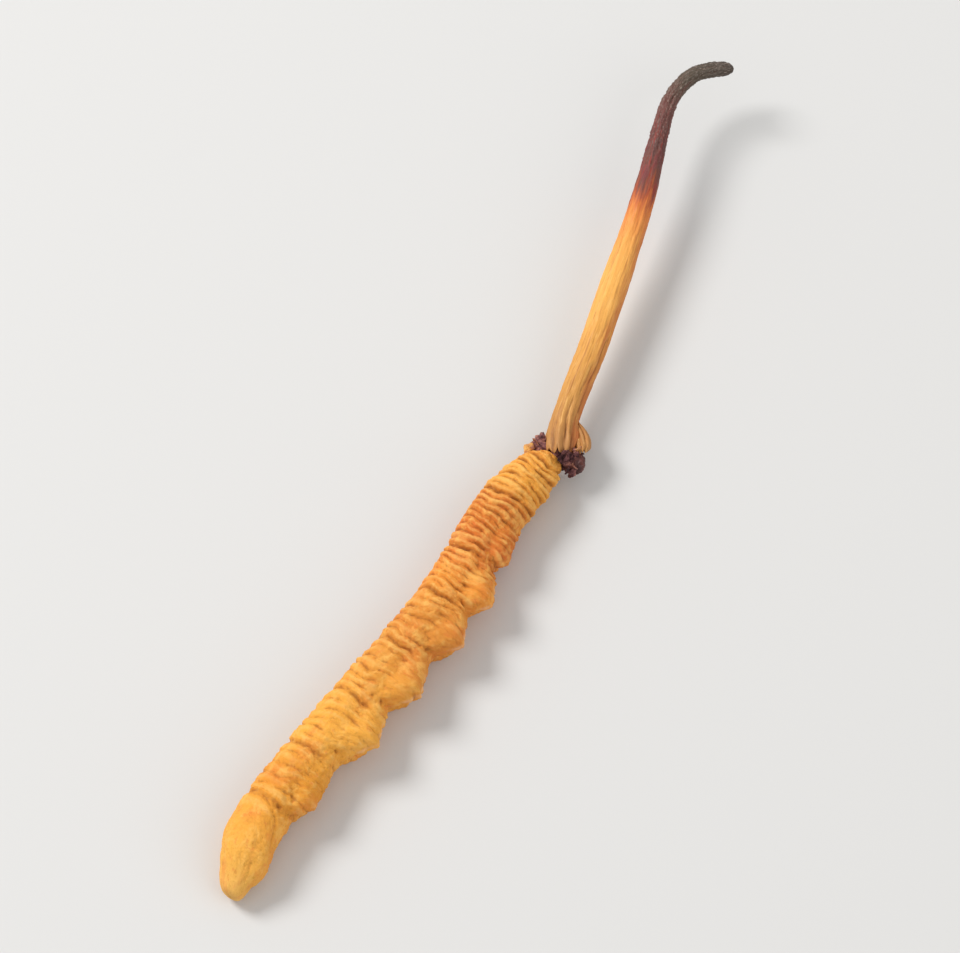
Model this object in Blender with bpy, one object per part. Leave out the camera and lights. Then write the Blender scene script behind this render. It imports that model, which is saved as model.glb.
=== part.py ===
# A dried cordyceps: a larva's dried body, its head capsule, and the fungus stalk grown out of the head.
# It lies on its side on z = 0. +X runs from tail to stalk, +Y is the side of the larva's back, +Z is up.
# The origin is on the flat underside, below the middle of the body.
import math

import bmesh
import bpy
from mathutils import Vector

MM = 0.001

# Body: length along X, tail first
BODY_LENGTH = 52.2 * MM
TAIL_X = -27.3 * MM
BODY_SIDES = 24
# How far the belly is turned down from the horizontal, so that the lower feet touch the surface
ROLL = math.radians(15.0)
# Radius at distances from the tail: both ends are blunt
BODY_RADIUS = [
    (0.0, 0.0),
    (0.12 * MM, 0.75 * MM),
    (0.4 * MM, 1.15 * MM),
    (1.0 * MM, 1.5 * MM),
    (1.7 * MM, 1.78 * MM),
    (3.3 * MM, 2.28 * MM),
    (5.0 * MM, 2.54 * MM),
    (10.0 * MM, 2.68 * MM),
    (40.0 * MM, 2.66 * MM),
    (46.0 * MM, 2.74 * MM),
    (49.0 * MM, 2.55 * MM),
    (50.5 * MM, 2.22 * MM),
    (51.4 * MM, 1.8 * MM),
    (51.95 * MM, 1.2 * MM),
    (52.2 * MM, 0.0),
]
# Sideways place of the body's middle line: one slow bend each way
BODY_BEND = [
    (0.0, -0.4 * MM),
    (3.0 * MM, 0.52 * MM),
    (6.0 * MM, 1.0 * MM),
    (10.0 * MM, 1.08 * MM),
    (16.0 * MM, 0.78 * MM),
    (23.0 * MM, 0.12 * MM),
    (30.0 * MM, -0.6 * MM),
    (35.5 * MM, -0.84 * MM),
    (41.0 * MM, -0.45 * MM),
    (45.5 * MM, -0.3 * MM),
    (49.0 * MM, -0.7 * MM),
    (52.2 * MM, -1.3 * MM),
]
# Height of the middle line, a little less than the radius, which leaves a flat underside
BODY_HEIGHT = [
    (0.0, 1.55 * MM),
    (3.0 * MM, 2.1 * MM),
    (6.0 * MM, 2.4 * MM),
    (10.0 * MM, 2.55 * MM),
    (48.0 * MM, 2.55 * MM),
    (52.2 * MM, 2.45 * MM),
]

# Segments of the body: where each begins, how many folds it has, and the depth of its creases
SEGMENTS = [
    (1.7 * MM, 3, 0.05 * MM),
    (8.9 * MM, 4, 0.1 * MM),
    (15.0 * MM, 5, 0.12 * MM),
    (21.5 * MM, 5, 0.13 * MM),
    (28.0 * MM, 6, 0.14 * MM),
    (34.0 * MM, 6, 0.15 * MM),
    (39.3 * MM, 8, 0.16 * MM),
    (45.8 * MM, 3, 0.17 * MM),
    (47.7 * MM, 3, 0.17 * MM),
    (49.5 * MM, 2, 0.17 * MM),
    (50.7 * MM, 1, 0.17 * MM),
]
LAST_FOLD_END = 51.6 * MM
# The crease between two segments is deeper than those between folds
SEGMENT_EXTRA = 0.08 * MM
# Share of a fold's length that its rounded side takes
FOLD_SHOULDER = 0.3
# Rings that round off the two ends
TAIL_RINGS = [0.12 * MM, 0.6 * MM]
FRONT_RING = 52.0 * MM
# Folds wander along the body in waves: share of the depth, waves around, and turns per metre along it
FOLD_WANDER = 0.12 * MM
WANDER_WAVES = [(1.0, 2.0, 900.0), (0.6, 3.0, -1500.0)]
# Folds are shallower on the belly, and fade out towards the ends
BELLY_FOLD_LOSS = 0.55
TAIL_FADE = 3.0 * MM
FRONT_FADE = 1.5 * MM
BELLY_FLATTEN = 0.06
# A shallow furrow along each flank, at this angle from the middle of the back
PLEURAL_ANGLE = math.radians(111.0)
PLEURAL_WIDTH = math.radians(10.0)
PLEURAL_DEPTH = 0.1 * MM

# Legs stand in two rows beside the belly's middle line, each foot spread further up the flank than inwards
LEG_ANGLE = math.radians(27.0)
LEG_SPREAD_OUT = math.radians(36.0)
LEG_SPREAD_IN = math.radians(20.0)
LEG_SQUARENESS = 3.0
# The row that the body lies on is pressed short
LOWER_ROW_SHARE = 0.7
# Fin-shaped prolegs: where each begins, its tip, where it ends, and how far the tip stands out.
# The tip is near the end that faces the tail. The first and the last are low swellings
PROLEGS = [
    (9.3 * MM, 10.9 * MM, 15.6 * MM, 1.0 * MM),
    (16.1 * MM, 19.0 * MM, 22.7 * MM, 2.05 * MM),
    (22.7 * MM, 24.9 * MM, 29.2 * MM, 2.05 * MM),
    (29.2 * MM, 31.2 * MM, 34.6 * MM, 1.95 * MM),
    (34.6 * MM, 36.3 * MM, 39.7 * MM, 1.8 * MM),
    (39.7 * MM, 41.0 * MM, 44.5 * MM, 1.0 * MM),
]
# How straight the two edges of a proleg run to its tip: 1 is straight, less is rounder
PROLEG_REAR_EDGE = 0.7
PROLEG_FRONT_EDGE = 0.85
# End pair and chest legs: place from the tail, how far they stand out, and half their length
SMALL_LEGS = [
    (3.2 * MM, 0.6 * MM, 1.5 * MM),
    (46.0 * MM, 0.4 * MM, 0.8 * MM),
    (48.2 * MM, 0.4 * MM, 0.7 * MM),
    (50.0 * MM, 0.35 * MM, 0.5 * MM),
]

# Head capsule: an oval of two lobes
HEAD_CENTRE = Vector((25.55, -3.17, 2.1)) * MM
HEAD_RADII = Vector((1.0, 1.1, 1.15)) * MM
HEAD_TURN = math.radians(-60.0)
HEAD_GROOVE = 0.14
HEAD_GROOVE_WIDTH = 0.25
HEAD_SIDES = 16
HEAD_RINGS = 12
GAP = 0.3 * MM

# Stalk: its middle line from the collar at the head to the hooked tip, and its radius along that line
STALK_LINE = [
    Vector((25.42, -1.9, 2.58)) * MM,
    Vector((27.1, -0.98, 2.72)) * MM,
    Vector((28.65, -0.28, 2.86)) * MM,
    Vector((31.0, 0.4, 3.05)) * MM,
    Vector((34.6, 1.18, 3.35)) * MM,
    Vector((38.85, 2.28, 3.7)) * MM,
    Vector((43.1, 3.4, 4.05)) * MM,
    Vector((48.1, 4.77, 4.45)) * MM,
    Vector((52.2, 6.05, 4.8)) * MM,
    Vector((55.45, 7.2, 5.07)) * MM,
    Vector((58.7, 8.32, 5.34)) * MM,
    Vector((60.5, 8.62, 5.48)) * MM,
    Vector((62.0, 8.53, 5.6)) * MM,
    Vector((63.3, 8.1, 5.72)) * MM,
    Vector((64.6, 6.9, 5.85)) * MM,
    Vector((65.65, 5.3, 6.0)) * MM,
]
STALK_RADIUS = [
    (0.0, 1.0 * MM),
    (0.5 * MM, 1.15 * MM),
    (3.3 * MM, 1.18 * MM),
    (5.0 * MM, 1.25 * MM),
    (10.3 * MM, 1.34 * MM),
    (17.3 * MM, 1.35 * MM),
    (19.1 * MM, 1.3 * MM),
    (21.5 * MM, 1.2 * MM),
    (26.0 * MM, 1.13 * MM),
    (28.0 * MM, 1.07 * MM),
    (30.0 * MM, 0.96 * MM),
    (33.0 * MM, 0.83 * MM),
    (36.3 * MM, 0.73 * MM),
    (40.5 * MM, 0.7 * MM),
    (42.0 * MM, 0.6 * MM),
    (43.1 * MM, 0.48 * MM),
]
STALK_SIDES = 24
STALK_RINGS = 56
# Rings stand closer at the fluted base and the hooked tip than along the stem, by this share
END_CROWDING = 0.5
# Even flutes run up the whole stalk, crossed by a few broader folds at its base
FLUTES = 8
BROAD_FOLDS = 3
FLUTE_BASE = 0.16 * MM
FLUTE_STEM = 0.05 * MM
FLUTE_REACH = 7.0 * MM
BROAD_FOLD_TURN = 1.0
# Furrows are cut in deeper than ridges stand out, by this share of the flute's height
FLUTE_SINK = 0.3
# A leaf of the fluted base that stands off on the belly side
FLAP_ANGLE = math.radians(172.0)
FLAP_SPREAD = math.radians(24.0)
FLAP_HEIGHT = 1.3 * MM
FLAP_PLACE = 1.6 * MM
FLAP_REACH = 1.1 * MM
TIP_ROUNDING = 0.9 * MM
# Half the step over which the direction of the stalk is read
DIRECTION_STEP = 0.1 * MM

# Base colour and roughness of each piece
BODY_FINISH = ((0.58, 0.29, 0.07), 0.85)
HEAD_FINISH = ((0.16, 0.035, 0.02), 0.35)
STALK_FINISH = ((0.5, 0.24, 0.09), 0.7)


def clear_scene():
    for thing in list(bpy.data.objects):
        bpy.data.objects.remove(thing, do_unlink=True)


def smooth_through(points, at):
    """The value, a number or a vector, at a place along (place, value) points, on a smooth curve through them."""
    last = len(points) - 1
    i = max(0, min(last - 1, sum(1 for place, value in points if place <= at) - 1))
    x0, y0 = points[i]
    x1, y1 = points[i + 1]
    xa, ya = points[max(i - 1, 0)]
    xb, yb = points[min(i + 2, last)]
    span = x1 - x0
    t = max(0.0, min(1.0, (at - x0) / span))
    slope0 = (y1 - ya) / (x1 - xa) * span
    slope1 = (yb - y0) / (xb - x0) * span
    square, cube = t * t, t * t * t
    return (
        y0 * (2 * cube - 3 * square + 1)
        + slope0 * (cube - 2 * square + t)
        + y1 * (3 * square - 2 * cube)
        + slope1 * (cube - square)
    )


def bump(distance, width):
    """A round hump: 1 at no distance, and near 0 past the width."""
    return math.exp(-((distance / width) ** 2))


def ease(value):
    value = max(0.0, min(1.0, value))
    return value * value * (3.0 - 2.0 * value)


def angle_between(a, b):
    return (a - b + math.pi) % math.tau - math.pi


def add_piece(name, rings, sides, place, finish):
    """A closed piece made from a sphere's rings, each of whose points is put where place(ring, around) says."""
    bm = bmesh.new()
    bmesh.ops.create_uvsphere(bm, u_segments=sides, v_segments=rings, radius=1.0)
    for vert in bm.verts:
        down = math.acos(max(-1.0, min(1.0, vert.co.z)))
        vert.co = place(round(down / math.pi * rings), math.atan2(vert.co.y, vert.co.x))
    mesh = bpy.data.meshes.new(name)
    bm.to_mesh(mesh)
    bm.free()
    mesh.shade_smooth()
    piece = bpy.data.objects.new(name, mesh)
    bpy.context.scene.collection.objects.link(piece)
    mesh.materials.append(make_material(name, *finish))
    return piece


def make_material(name, colour, roughness):
    material = bpy.data.materials.new(name)
    material.use_nodes = True
    shader = material.node_tree.nodes["Principled BSDF"]
    shader.inputs["Base Color"].default_value = (*colour, 1.0)
    shader.inputs["Roughness"].default_value = roughness
    shader.inputs["Metallic"].default_value = 0.0
    return material


def fold_stations():
    """Places along the body from head to tail, each with the depth of the crease there."""
    stations = [(0.0, 0.0)] + [(ring, 0.0) for ring in TAIL_RINGS]
    ends = [start for start, folds, depth in SEGMENTS[1:]] + [LAST_FOLD_END]
    for (start, folds, depth), end in zip(SEGMENTS, ends):
        length = (end - start) / folds
        for fold in range(folds):
            crease = start + fold * length
            stations.append((crease, depth + SEGMENT_EXTRA if fold == 0 else depth))
            stations.append((crease + FOLD_SHOULDER * length, 0.0))
            stations.append((crease + (1.0 - FOLD_SHOULDER) * length, 0.0))
    stations += [(LAST_FOLD_END, SEGMENTS[-1][2]), (FRONT_RING, 0.0), (BODY_LENGTH, 0.0)]
    return stations[::-1]


def leg_height(along, around):
    """How far the legs stand out of the body at a place on it."""
    height = 0.0
    for side, share in ((1.0, 1.0), (-1.0, LOWER_ROW_SHARE)):
        aside = side * angle_between(math.pi - side * LEG_ANGLE, around)
        spread = LEG_SPREAD_OUT if aside > 0.0 else LEG_SPREAD_IN
        across = share * math.exp(-(abs(aside / spread) ** LEG_SQUARENESS))
        for start, tip, end, reach in PROLEGS:
            if start < along < end:
                rise = min(1.0, (along - start) / (tip - start)) ** PROLEG_REAR_EDGE
                fall = min(1.0, (end - along) / (end - tip)) ** PROLEG_FRONT_EDGE
                height = max(height, reach * across * rise * fall)
        for centre, reach, half in SMALL_LEGS:
            height = max(height, reach * across * bump(along - centre, half))
    return height


def body_point(stations, ring, around):
    along, crease = stations[ring]
    belly = max(0.0, -math.cos(around))
    radius = smooth_through(BODY_RADIUS, along)
    ends = ease(along / TAIL_FADE) * ease((BODY_LENGTH - along) / FRONT_FADE)
    relief = leg_height(along, around) * ends
    relief -= crease * (1.0 - BELLY_FOLD_LOSS * belly)
    relief -= PLEURAL_DEPTH * ends * bump(abs(angle_between(around, 0.0)) - PLEURAL_ANGLE, PLEURAL_WIDTH)
    radius = radius * (1.0 - BELLY_FLATTEN * belly) + (relief if radius > 0.0 else 0.0)
    wander = FOLD_WANDER * ends * sum(
        share * math.sin(waves * around + turns * along) for share, waves, turns in WANDER_WAVES
    )
    middle = Vector((TAIL_X + along + wander, smooth_through(BODY_BEND, along), smooth_through(BODY_HEIGHT, along)))
    back = Vector((0.0, math.cos(ROLL), math.sin(ROLL)))
    flank = Vector((0.0, -math.sin(ROLL), math.cos(ROLL)))
    point = middle + radius * (math.cos(around) * back + math.sin(around) * flank)
    point.z = max(0.0, point.z)
    return point


def make_body():
    stations = fold_stations()
    return add_piece(
        "larva_body",
        len(stations) - 1,
        BODY_SIDES,
        lambda ring, around: body_point(stations, ring, around),
        BODY_FINISH,
    )


def head_point(ring, around, rings, grow):
    """A point of the head capsule, or of the same shape grown outwards, with a groove between its two lobes."""
    down = ring / rings * math.pi
    depth = HEAD_GROOVE if grow == 0.0 else 0.0
    lobes = 1.0 - depth * bump(math.sin(down) * math.sin(around), HEAD_GROOVE_WIDTH)
    local = Vector((math.cos(down), math.sin(down) * math.cos(around), math.sin(down) * math.sin(around)))
    local = Vector([part * (radius + grow) for part, radius in zip(local, HEAD_RADII)]) * lobes
    turned = Vector((
        local.x * math.cos(HEAD_TURN) - local.y * math.sin(HEAD_TURN),
        local.x * math.sin(HEAD_TURN) + local.y * math.cos(HEAD_TURN),
        local.z,
    ))
    return HEAD_CENTRE + turned


def make_head(name, grow):
    return add_piece(
        name,
        HEAD_RINGS,
        HEAD_SIDES,
        lambda ring, around: head_point(ring, around, HEAD_RINGS, grow),
        HEAD_FINISH,
    )


def stalk_line():
    """The stalk's middle line with the distance of each of its points from the base."""
    distance = 0.0
    line = [(0.0, STALK_LINE[0])]
    for before, point in zip(STALK_LINE, STALK_LINE[1:]):
        distance += (point - before).length
        line.append((distance, point))
    return line


def stalk_point(line, ring, around):
    length = line[-1][0]
    share = 1.0 - ring / STALK_RINGS
    crowded = 0.5 - 0.5 * math.cos(math.pi * share)
    along = length * (share + END_CROWDING * (crowded - share))
    ahead = smooth_through(line, min(length, along + DIRECTION_STEP))
    behind = smooth_through(line, max(0.0, along - DIRECTION_STEP))
    forward = (ahead - behind).normalized()
    side = Vector((0.0, 0.0, 1.0)).cross(forward).normalized()
    up = forward.cross(side)
    if ring in (0, STALK_RINGS):
        return smooth_through(line, along)
    radius = smooth_through(STALK_RADIUS, along)
    base = 1.0 - ease(along / FLUTE_REACH)
    flute = FLUTE_STEM + (FLUTE_BASE - FLUTE_STEM) * base
    broad = base * math.cos(BROAD_FOLDS * around + BROAD_FOLD_TURN)
    radius += flute * (math.cos(FLUTES * around) + broad - FLUTE_SINK)
    flap = bump(angle_between(around, FLAP_ANGLE), FLAP_SPREAD) * bump(along - FLAP_PLACE, FLAP_REACH)
    radius += FLAP_HEIGHT * flap
    radius *= math.sqrt(max(0.0, 1.0 - (1.0 - min(1.0, (length - along) / TIP_ROUNDING)) ** 2))
    return smooth_through(line, along) + radius * (math.cos(around) * side + math.sin(around) * up)


def make_stalk():
    line = stalk_line()
    stalk = add_piece(
        "stalk",
        STALK_RINGS,
        STALK_SIDES,
        lambda ring, around: stalk_point(line, ring, around),
        STALK_FINISH,
    )
    # The collar grips the head in a socket of the head's own shape
    socket = make_head("head_socket_cutter", GAP)
    socket.hide_render = True
    socket.display_type = "WIRE"
    cut = stalk.modifiers.new("head_socket", "BOOLEAN")
    cut.operation = "DIFFERENCE"
    cut.object = socket
    return stalk


clear_scene()
make_body()
make_head("head", 0.0)
make_stalk()
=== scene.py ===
# The look of a dried cordyceps: larva skin, head shell, fungus stalk and the dark matter where they meet.
# Sizes are in millimetres and angles in degrees where no note says otherwise. +X runs from the tail to the
# stalk, +Y is the larva's back, +Z is up.
from itertools import product
from math import cos, exp, pi, radians, sin

import bpy
import numpy as np
from mathutils import Matrix, Vector


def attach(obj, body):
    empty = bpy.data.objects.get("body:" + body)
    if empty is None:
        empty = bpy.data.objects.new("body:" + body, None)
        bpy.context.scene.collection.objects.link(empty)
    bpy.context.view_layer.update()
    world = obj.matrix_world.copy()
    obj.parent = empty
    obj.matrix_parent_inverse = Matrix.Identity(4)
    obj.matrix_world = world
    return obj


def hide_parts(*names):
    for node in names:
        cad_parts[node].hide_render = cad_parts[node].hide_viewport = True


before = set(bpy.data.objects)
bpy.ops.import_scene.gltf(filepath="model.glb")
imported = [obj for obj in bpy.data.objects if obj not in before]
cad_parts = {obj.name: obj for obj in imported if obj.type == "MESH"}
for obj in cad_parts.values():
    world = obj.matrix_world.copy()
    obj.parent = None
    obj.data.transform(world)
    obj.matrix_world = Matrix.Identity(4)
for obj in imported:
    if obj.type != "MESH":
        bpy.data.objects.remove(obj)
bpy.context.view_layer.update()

mm = 0.001
fullTurn = 2 * pi


# Curves and patterns that work on whole arrays of places at once

def smoothThrough(points, at):
    # a smooth curve through (place, value) pairs, where a value is a number or a point
    places = np.array([place for place, _ in points], dtype=float)
    values = np.array([value for _, value in points], dtype=float)
    left = np.clip(np.searchsorted(places, at, side="right") - 1, 0, len(places) - 2)
    before, after = np.maximum(left - 1, 0), np.minimum(left + 2, len(places) - 1)
    span = places[left + 1] - places[left]
    t = np.clip((at - places[left]) / span, 0, 1)
    pull0, pull1 = span / (places[left + 1] - places[before]), span / (places[after] - places[left])
    if values.ndim > 1:
        t, pull0, pull1 = t[..., None], pull0[..., None], pull1[..., None]
    slope0 = (values[left + 1] - values[before]) * pull0
    slope1 = (values[after] - values[left]) * pull1
    square, cube = t * t, t * t * t
    return (
        values[left] * (2 * cube - 3 * square + 1)
        + slope0 * (cube - 2 * square + t)
        + values[left + 1] * (3 * square - 2 * cube)
        + slope1 * (cube - square)
    )


def ease(value):
    # from 0 to 1 with a soft start and a soft end
    value = np.clip(value, 0, 1)
    return value * value * (3 - 2 * value)


def bump(distance, width):
    # a round hill, 1 at its top
    return np.exp(-((distance / width) ** 2))


def pleats(count, softness):
    # a valley at each whole number, between rounded folds
    return 1 - np.sqrt(np.sin(pi * count) ** 2 + softness)


def creaseShape(distance, width):
    # a narrow groove between two rounded lips
    far = np.abs(distance) / width
    return np.exp(-far) - 0.3 * bump(far - 3, 1.5)


def angleBetween(a, b):
    # the short way round from b to a, in radians
    return (a - b + pi) % fullTurn - pi


# noise picks its random directions from this list
pickCount = 4096
directions = np.random.default_rng(11).normal(size=(pickCount, 3))
directions /= np.linalg.norm(directions, axis=1)[:, None]
cellFactors, seedFactor, mixFactor = (374761393, 668265263, 1103515245), 974634777, 1274126177


def pickAt(cell, seed):
    # an even, repeatable pick from the list for each whole-number cell
    pick = sum(cell[..., axis] * factor for axis, factor in enumerate(cellFactors)) + seed * seedFactor
    pick = (pick ^ (pick >> 13)) * mixFactor
    return (pick ^ (pick >> 16)) & (pickCount - 1)


def noiseAt(points, seed):
    # soft random hills, about -1 to 1
    cell = np.floor(points).astype(np.int64)
    part = points - cell
    fade = part * part * part * (part * (part * 6 - 15) + 10)
    total = np.zeros(points.shape[:-1])
    for corner in product((0, 1), repeat=3):
        weight = np.prod(np.where(np.array(corner) == 1, fade, 1 - fade), axis=-1)
        slope = directions[pickAt(cell + np.array(corner), seed)]
        total += weight * np.sum(slope * (part - corner), axis=-1)
    return total * 1.7


def layeredNoise(points, layers, seed, finer=2.03, weaker=0.5, shift=17.3):
    # each layer is finer and weaker than the one before it, and starts from another place
    total, strength = 0, 1
    for layer in range(layers):
        total = total + strength * noiseAt(points * finer ** layer + shift * layer, seed + layer)
        strength *= weaker
    return total


def wrinklesAt(points, layers, seed, finer=2.07, weaker=0.55, shift=9.1, narrowness=1.6):
    # rounded pads, near 0, parted by sharp creases down to -1
    total, strength, whole = 0, 1, 0
    for layer in range(layers):
        valley = 1 - np.abs(noiseAt(points * finer ** layer + shift * layer, seed + layer)) * narrowness
        total = total - strength * np.clip(valley, 0, 1) ** 3
        whole += strength
        strength *= weaker
    return total / whole


def pebblesAt(points, seed, scatter=0.42):
    # distance to the nearest of a scatter of points, one in each cell
    cell = np.floor(points).astype(np.int64)
    nearest = np.full(points.shape[:-1], np.inf)
    for corner in product((-1, 0, 1), repeat=3):
        at = cell + np.array(corner)
        middle = at + 0.5 + scatter * directions[pickAt(at, seed)]
        nearest = np.minimum(nearest, np.sum((points - middle) ** 2, axis=-1))
    return np.sqrt(nearest)


def blurred(grid, ringsWide, sidesWide):
    # a soft average over the neighbouring rings and sides
    for axis, wide in ((0, ringsWide), (1, sidesWide)):
        reach = int(2.5 * wide)
        total, whole = 0, 0
        for step in range(-reach, reach + 1):
            weight = exp(-0.5 * (step / wide) ** 2)
            if axis == 0:
                moved = grid[np.clip(np.arange(len(grid)) + step, 0, len(grid) - 1)]
            else:
                moved = np.roll(grid, step, axis=1)
            total, whole = total + weight * moved, whole + weight
        grid = total / whole
    return grid


def evenStations(count, length, *heights):
    # places from 0 to the length, evenly spread along the outline that the heights draw
    fine = np.linspace(0, length, 6000)
    steps = np.diff(fine)
    for heightAt in heights:
        steps = np.hypot(steps, np.diff(heightAt(fine)))
    travelled = np.concatenate([[0], np.cumsum(steps)])
    return np.interp(np.linspace(0, travelled[-1], count + 1), travelled, fine)


def ringGrain(along, around, radius):
    # places that lie on the skin, however it bends, for noise and for the material
    return np.stack(np.broadcast_arrays(along, radius * np.cos(around), radius * np.sin(around)), axis=-1)


rng = np.random.default_rng(5)


# Meshes

def deselectAll():
    bpy.ops.object.select_all(action="DESELECT")


def newSphere(name, rings, sides, radius, middle):
    deselectAll()
    bpy.ops.mesh.primitive_uv_sphere_add(
        segments=sides, ring_count=rings, radius=radius * mm, location=Vector(middle) * mm
    )
    piece = bpy.context.active_object
    piece.name = piece.data.name = name
    bpy.ops.object.transform_apply(location=True, rotation=True, scale=True)
    return piece


def readPoints(piece):
    flat = np.empty(len(piece.data.vertices) * 3)
    piece.data.vertices.foreach_get("co", flat)
    return flat.reshape(-1, 3) / mm


def writePoints(piece, points):
    piece.data.vertices.foreach_set("co", np.ascontiguousarray(points * mm).ravel())
    piece.data.update()


def writeNote(piece, name, values):
    # a number or a point kept at every vertex, for the material to read
    kind, field = ("FLOAT_VECTOR", "vector") if values.ndim == 2 else ("FLOAT", "value")
    note = piece.data.attributes.new(name, kind, "POINT")
    note.data.foreach_set(field, np.ascontiguousarray(values).ravel())


def newRings(name, radius, middle, points, notes):
    # a sphere whose every vertex goes to the point of its ring and side, and carries that point's notes
    rings, sides = len(points) - 1, points.shape[1]
    piece = newSphere(name, rings, sides, radius, middle)
    local = (readPoints(piece) - np.array(middle)) / radius
    ring = np.rint(np.arccos(np.clip(local[:, 2], -1, 1)) / pi * rings).astype(int)
    side = np.rint(np.arctan2(local[:, 1], local[:, 0]) / fullTurn * sides).astype(int) % sides
    points[0], points[-1] = points[0].mean(axis=0), points[-1].mean(axis=0)
    writePoints(piece, points[ring, side])
    for note, values in notes.items():
        writeNote(piece, note, values[ring, side])
    return piece


def newStrip(lengthwise, across, shape, thickness, pose=None):
    # a grid, 0 to 1 along the strip and -1 to 1 across it, bent to shape and given a thickness
    deselectAll()
    bpy.ops.mesh.primitive_grid_add(x_subdivisions=lengthwise, y_subdivisions=across, size=1 * mm)
    strip = bpy.context.active_object
    local = readPoints(strip)
    writePoints(strip, shape(np.clip(local[:, 0] + 0.5, 0, 1), 2 * local[:, 1]))
    thick = strip.modifiers.new("thickness", "SOLIDIFY")
    thick.thickness, thick.offset = thickness * mm, 0
    bpy.ops.object.modifier_apply(modifier="thickness")
    if pose:
        strip.data.transform(pose)
    return strip


def joinPieces(pieces, name):
    deselectAll()
    for piece in pieces:
        piece.select_set(True)
    bpy.context.view_layer.objects.active = pieces[0]
    bpy.ops.object.join()
    piece = bpy.context.active_object
    piece.name = piece.data.name = name
    return piece


def finishPiece(piece, slotName, material, *nodes):
    deselectAll()
    bpy.context.view_layer.objects.active = piece
    piece.select_set(True)
    bpy.ops.object.shade_smooth()
    piece.data.materials.clear()
    piece.data.materials.append(material)
    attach(piece, "root")
    if nodes:
        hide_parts(*nodes)
    print("made", piece.name, "with", len(piece.data.polygons), "faces")


# Materials

def fromScreen(red, green, blue):
    # a colour as picked on a screen, 0 to 255, in Blender's own linear values
    parts = [part / 255 for part in (red, green, blue)]
    return (*[part / 12.92 if part < 0.04045 else ((part + 0.055) / 1.055) ** 2.4 for part in parts], 1)


def addNode(tree, kind, **settings):
    node = tree.nodes.new("ShaderNode" + kind)
    for name, value in settings.items():
        setattr(node, name, value)
    return node


def setInputs(node, values):
    for socket, value in values.items():
        node.inputs[socket].default_value = value


def feed(tree, socket, source):
    if isinstance(source, bpy.types.NodeSocket):
        tree.links.new(source, socket)
    else:
        socket.default_value = source


def readNote(tree, name, output="Fac"):
    return addNode(tree, "Attribute", attribute_name=name).outputs[output]


def addNoise(tree, places, scale, detail=3, rough=0.55, distortion=0):
    mapping = addNode(tree, "Mapping")
    feed(tree, mapping.inputs["Vector"], places)
    setInputs(mapping, {"Scale": scale})
    noise = addNode(tree, "TexNoise")
    feed(tree, noise.inputs["Vector"], mapping.outputs["Vector"])
    setInputs(noise, {"Scale": 1, "Detail": detail, "Roughness": rough, "Distortion": distortion})
    return noise.outputs["Fac"]


def addRange(tree, value, fromLow, fromHigh, toLow=0, toHigh=1, soft=True):
    node = addNode(tree, "MapRange", interpolation_type="SMOOTHSTEP" if soft else "LINEAR")
    feed(tree, node.inputs["Value"], value)
    setInputs(node, {"From Min": fromLow, "From Max": fromHigh, "To Min": toLow, "To Max": toHigh})
    return node.outputs["Result"]


def addMath(tree, operation, first, second):
    node = addNode(tree, "Math", operation=operation)
    feed(tree, node.inputs[0], first)
    feed(tree, node.inputs[1], second)
    return node.outputs[0]


def addMix(tree, amount, under, over):
    node = addNode(tree, "Mix", data_type="RGBA")
    feed(tree, node.inputs["Factor"], amount)
    feed(tree, node.inputs["A"], under)
    feed(tree, node.inputs["B"], over)
    return node.outputs["Result"]


def addRamp(tree, value, stops):
    ramp = addNode(tree, "ValToRGB")
    feed(tree, ramp.inputs["Fac"], value)
    band = ramp.color_ramp
    while len(band.elements) < len(stops):
        band.elements.new(0.5)
    for element, (place, colour) in zip(band.elements, sorted(stops)):
        element.position = place
        element.color = fromScreen(*colour)
    return ramp.outputs["Color"]


def addPatches(tree, colour, places, look, patches, part=None, distortion=0):
    # patches of the look's other colours, kept to one part of the piece where that is given
    for name, scale, detail, rough, low, high, amount in look[patches]:
        noise = addNoise(tree, places, scale, detail, rough, distortion)
        cover = addRange(tree, noise, low, high, 0, amount)
        if part is not None:
            cover = addMath(tree, "MULTIPLY", cover, part)
        colour = addMix(tree, cover, colour, fromScreen(*look[name]))
    return colour


def addTints(tree, colour, look):
    # painted shade and painted highlight in the look's other colours, where a note of the mesh calls for them
    for name, note, low, high, amount in look["tints"]:
        cover = addRange(tree, readNote(tree, note), low, high, 0, amount)
        colour = addMix(tree, cover, colour, fromScreen(*look[name]))
    return colour


def addRoughness(tree, shader, noise, low, high):
    feed(tree, shader.inputs["Roughness"], addRange(tree, noise, 0.3, 0.7, low, high))


def addBump(tree, shader, height, distance, strength):
    node = addNode(tree, "Bump")
    feed(tree, node.inputs["Height"], height)
    setInputs(node, {"Distance": distance * mm, "Strength": strength})
    feed(tree, shader.inputs["Normal"], node.outputs["Normal"])


def newMaterial(name, gloss):
    material = bpy.data.materials.new(name)
    material.use_nodes = True
    shader = material.node_tree.nodes["Principled BSDF"]
    setInputs(shader, {"Specular IOR Level": gloss})
    return material, material.node_tree, shader


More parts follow.
